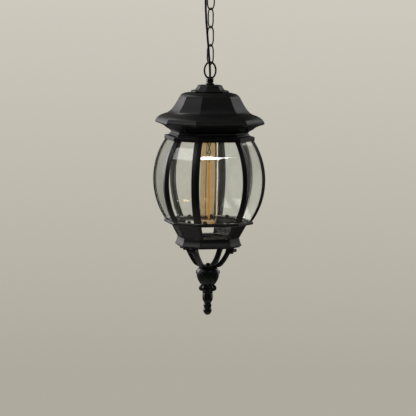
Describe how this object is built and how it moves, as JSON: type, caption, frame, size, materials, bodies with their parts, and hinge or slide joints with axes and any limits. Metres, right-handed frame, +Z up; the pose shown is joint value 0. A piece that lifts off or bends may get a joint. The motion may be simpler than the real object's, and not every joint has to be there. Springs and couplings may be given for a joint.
{
  "type": "hanging lantern",
  "caption": "Eight-sided pendant lantern with bowed glass, stepped roof, pierced basket and finial, hung from a ceiling rose by a link chain.",
  "frame": {"origin": "middle of the ceiling bracket's top face, where the ceiling is", "axes": "+Z up, against the ceiling; the wide glass panels face +X, -X, +Y and -Y"},
  "size_m": [0.1896, 0.1896, 0.6691],
  "materials": {
    "black_paint": "cast, with a satin black powder coat",
    "black_steel": "satin black painted steel",
    "black_flex": "matt PVC sheath",
    "zinc_steel": "bright zinc plate",
    "clear_glass": "clear bent sheet glass",
    "amber_glass": "clear amber",
    "cap_metal": "rolled brass",
    "filament": "phosphor-coated strip",
    "holder_plastic": "moulded black phenolic",
    "block_plastic": "moulded nylon"
  },
  "bodies": {
    "canopy": {"ceiling_bracket": "black_steel", "canopy_shell": "black_paint", "canopy_screw_left": "black_steel", "canopy_screw_right": "black_steel", "canopy_loop": "black_steel", "canopy_nipple": "zinc_steel", "canopy_lock_nut": "zinc_steel", "terminal_block": "block_plastic", "flex_1": "black_flex"},
    "link_1": {"chain_link_1": "black_steel", "flex_2": "black_flex"},
    "link_2": {"chain_link_2": "black_steel", "flex_3": "black_flex"},
    "link_3": {"chain_link_3": "black_steel", "flex_4": "black_flex"},
    "link_4": {"chain_link_4": "black_steel"},
    "lantern": {"flex_5": "black_flex", "lantern_loop": "black_steel", "roof_cap": "black_paint", "roof_shell": "black_paint", "roof_screw_1": "black_steel", "roof_screw_2": "black_steel", "roof_screw_3": "black_steel", "roof_screw_4": "black_steel", "lamp_nipple": "zinc_steel", "lamp_holder": "holder_plastic", "cage_bar_1": "black_paint", "cage_bar_2": "black_paint", "cage_bar_3": "black_paint", "cage_bar_4": "black_paint", "cage_bar_5": "black_paint", "cage_bar_6": "black_paint", "cage_bar_7": "black_paint", "cage_bar_8": "black_paint", "glass_wide_1": "clear_glass", "glass_narrow_1": "clear_glass", "glass_wide_2": "clear_glass", "glass_narrow_2": "clear_glass", "glass_wide_3": "clear_glass", "glass_narrow_3": "clear_glass", "glass_wide_4": "clear_glass", "glass_narrow_4": "clear_glass", "cage_top_ring": "black_paint", "cage_bottom_ring": "black_paint", "basket": "black_paint", "skirt": "black_paint", "base_plate": "black_paint", "spider": "black_paint", "foot_screw_1": "black_steel", "foot_screw_2": "black_steel", "foot_screw_3": "black_steel", "foot_screw_4": "black_steel", "hub_screw": "black_steel", "finial_urn": "black_paint", "finial_drop": "black_paint"},
    "bulb_thread": {"bulb_contact": "zinc_steel"},
    "bulb": {"bulb_cap": "cap_metal", "bulb_glass": "amber_glass", "bulb_stem": "zinc_steel", "bulb_filament": "filament"}
  },
  "joints": [
    {"name": "link_1_swing", "type": "hinge", "parent": "canopy", "child": "link_1", "pos_m": [0, 0, -0.07165], "axis": [0.3907, -0.9205, 0], "range_deg": [-25, 25], "deforming": ["flex_1"]},
    {"name": "link_2_swing", "type": "hinge", "parent": "link_1", "child": "link_2", "pos_m": [0, 0, -0.1043], "axis": [0.9205, 0.3907, 0], "range_deg": [-25, 25], "deforming": ["flex_2"]},
    {"name": "link_3_swing", "type": "hinge", "parent": "link_2", "child": "link_3", "pos_m": [0, 0, -0.1377], "axis": [0.3746, -0.9272, 0], "range_deg": [-25, 25], "deforming": ["flex_3"]},
    {"name": "link_4_swing", "type": "hinge", "parent": "link_3", "child": "link_4", "pos_m": [0, 0, -0.1711], "axis": [0.829, 0.5592, 0], "range_deg": [-25, 25], "deforming": ["flex_4"]},
    {"name": "lantern_swing", "type": "hinge", "parent": "link_4", "child": "lantern", "pos_m": [0, 0, -0.2045], "axis": [0.515, -0.8572, 0], "range_deg": [-10, 10], "deforming": ["flex_5"]},
    {"name": "bulb_withdraw", "type": "slide", "parent": "lantern", "child": "bulb_thread", "axis": [0, 0, -1], "range_m": [0, 0.0146]},
    {"name": "bulb_unscrew", "type": "hinge", "parent": "bulb_thread", "child": "bulb", "pos_m": [0, 0, -0.2891], "axis": [0, 0, -1], "range_deg": [0, 1440]}
  ],
  "couplings": [
    {"joint": "bulb_withdraw", "follows": "bulb_unscrew", "m_per_rad": 0.0005775}
  ]
}
